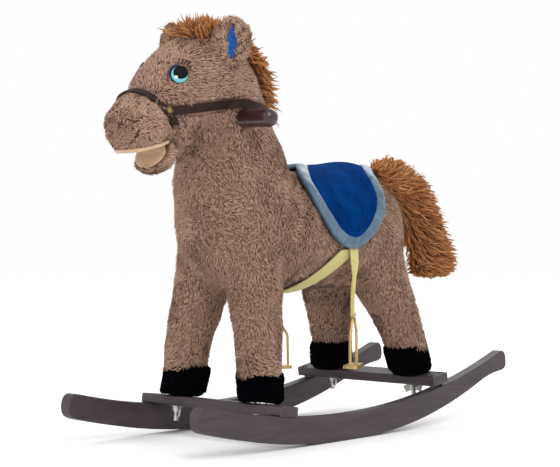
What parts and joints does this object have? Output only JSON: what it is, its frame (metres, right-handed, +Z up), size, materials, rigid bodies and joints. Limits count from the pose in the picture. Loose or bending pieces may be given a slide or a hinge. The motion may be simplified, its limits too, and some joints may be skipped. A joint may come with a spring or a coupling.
{
  "type": "plush rocking horse",
  "caption": "Stuffed plush toy horse with side handles, bridle, saddle blanket and stirrups, bolted to a dark wooden rocker base; mouth, tail, stirrups and ear button move.",
  "frame": {"origin": "on the floor, under the middle of the whole horse", "axes": "+Z up, +Y towards the tail, so the horse looks along -Y; +X is the horse's left side"},
  "size_m": [0.2828, 0.771, 0.639],
  "materials": {
    "plush": "matte",
    "filling": "matte",
    "hair": "matte",
    "hoof_plush": "matte",
    "rocker_wood": "satin",
    "handle_wood": "gloss",
    "frame_steel": "satin",
    "zinc_steel": "satin",
    "black_steel": "satin",
    "felt": "matte",
    "blue_felt": "matte",
    "embroidery": "satin",
    "leather": "satin",
    "brass": "polished",
    "blue_velour": "matte",
    "binding": "satin",
    "webbing": "matte",
    "cell_steel": "satin",
    "black_plastic": "matte"
  },
  "bodies": {
    "horse": {"batteries": "cell_steel", "battery_box": "black_plastic", "battery_door": "black_plastic", "body_cover": "plush", "body_filling": "filling", "bridle_rivets": "brass", "crossbar_front": "rocker_wood", "crossbar_rear": "rocker_wood", "ear_left": "plush", "ear_linings": "blue_felt", "ear_right": "plush", "ear_switch": "black_plastic", "eyes": "embroidery", "forelock": "hair", "girth_strap": "webbing", "handle_left": "handle_wood", "handle_right": "handle_wood", "handle_rod": "frame_steel", "head_cover": "plush", "head_filling": "filling", "hip_tubes": "frame_steel", "hoof_front_left": "hoof_plush", "hoof_front_right": "hoof_plush", "hoof_rear_left": "hoof_plush", "hoof_rear_right": "hoof_plush", "leg_front_left": "plush", "leg_front_right": "plush", "leg_rear_left": "plush", "leg_rear_right": "plush", "leg_studs": "zinc_steel", "leg_tubes": "frame_steel", "leg_washers": "zinc_steel", "leg_wing_nuts": "zinc_steel", "mane": "hair", "mouth_gearmotor": "black_plastic", "mouth_lining": "felt", "muzzle": "plush", "neck_tube": "frame_steel", "noseband": "leather", "rein": "leather", "rocker_left": "rocker_wood", "rocker_right": "rocker_wood", "rocker_screws": "black_steel", "saddle_binding": "binding", "saddle_blanket": "blue_velour", "speaker": "black_plastic", "spine_tube": "frame_steel", "tail_gearmotor": "black_plastic"},
    "jaw": {"jaw": "plush", "jaw_lining": "felt", "jaw_lever": "frame_steel"},
    "tail": {"tail_hair": "hair", "tail_shaft": "frame_steel"},
    "ear_button": {"ear_button": "black_plastic"},
    "stirrup_strap_left": {"stirrup_strap_left": "webbing"},
    "stirrup_strap_right": {"stirrup_strap_right": "webbing"},
    "stirrup_iron_left": {"stirrup_iron_left": "brass", "stirrup_tread_left": "brass"},
    "stirrup_iron_right": {"stirrup_iron_right": "brass", "stirrup_tread_right": "brass"}
  },
  "joints": [
    {"name": "jaw_hinge", "type": "hinge", "parent": "horse", "child": "jaw", "pos_m": [0, -0.30649, 0.45], "axis": [-1, 0, 0], "range_deg": [0, 36]},
    {"name": "tail_wag", "type": "hinge", "parent": "horse", "child": "tail", "pos_m": [0, 0.20326, 0.3846], "axis": [0, 0.7431, 0.6691], "range_deg": [-15, 15]},
    {"name": "ear_button_press", "type": "slide", "parent": "horse", "child": "ear_button", "axis": [0.2588, 0.9565, -0.1344], "range_m": [0, 0.0015], "stiffness_N_per_m": 600, "springref_m": -0.0006},
    {"name": "strap_swing_left", "type": "hinge", "parent": "horse", "child": "stirrup_strap_left", "pos_m": [0.0948, 0.02651, 0.273], "axis": [1, 0, 0], "range_deg": [-30, 30]},
    {"name": "iron_swing_left", "type": "hinge", "parent": "stirrup_strap_left", "child": "stirrup_iron_left", "pos_m": [0.0948, 0.02651, 0.178], "axis": [-0.4384, 0.8988, 0], "range_deg": [-35, 35]},
    {"name": "strap_swing_right", "type": "hinge", "parent": "horse", "child": "stirrup_strap_right", "pos_m": [-0.0955, 0.06051, 0.28], "axis": [1, 0, 0], "range_deg": [-30, 10]},
    {"name": "iron_swing_right", "type": "hinge", "parent": "stirrup_strap_right", "child": "stirrup_iron_right", "pos_m": [-0.0955, 0.06051, 0.162], "axis": [0.4384, 0.8988, 0], "range_deg": [-35, 35]}
  ]
}
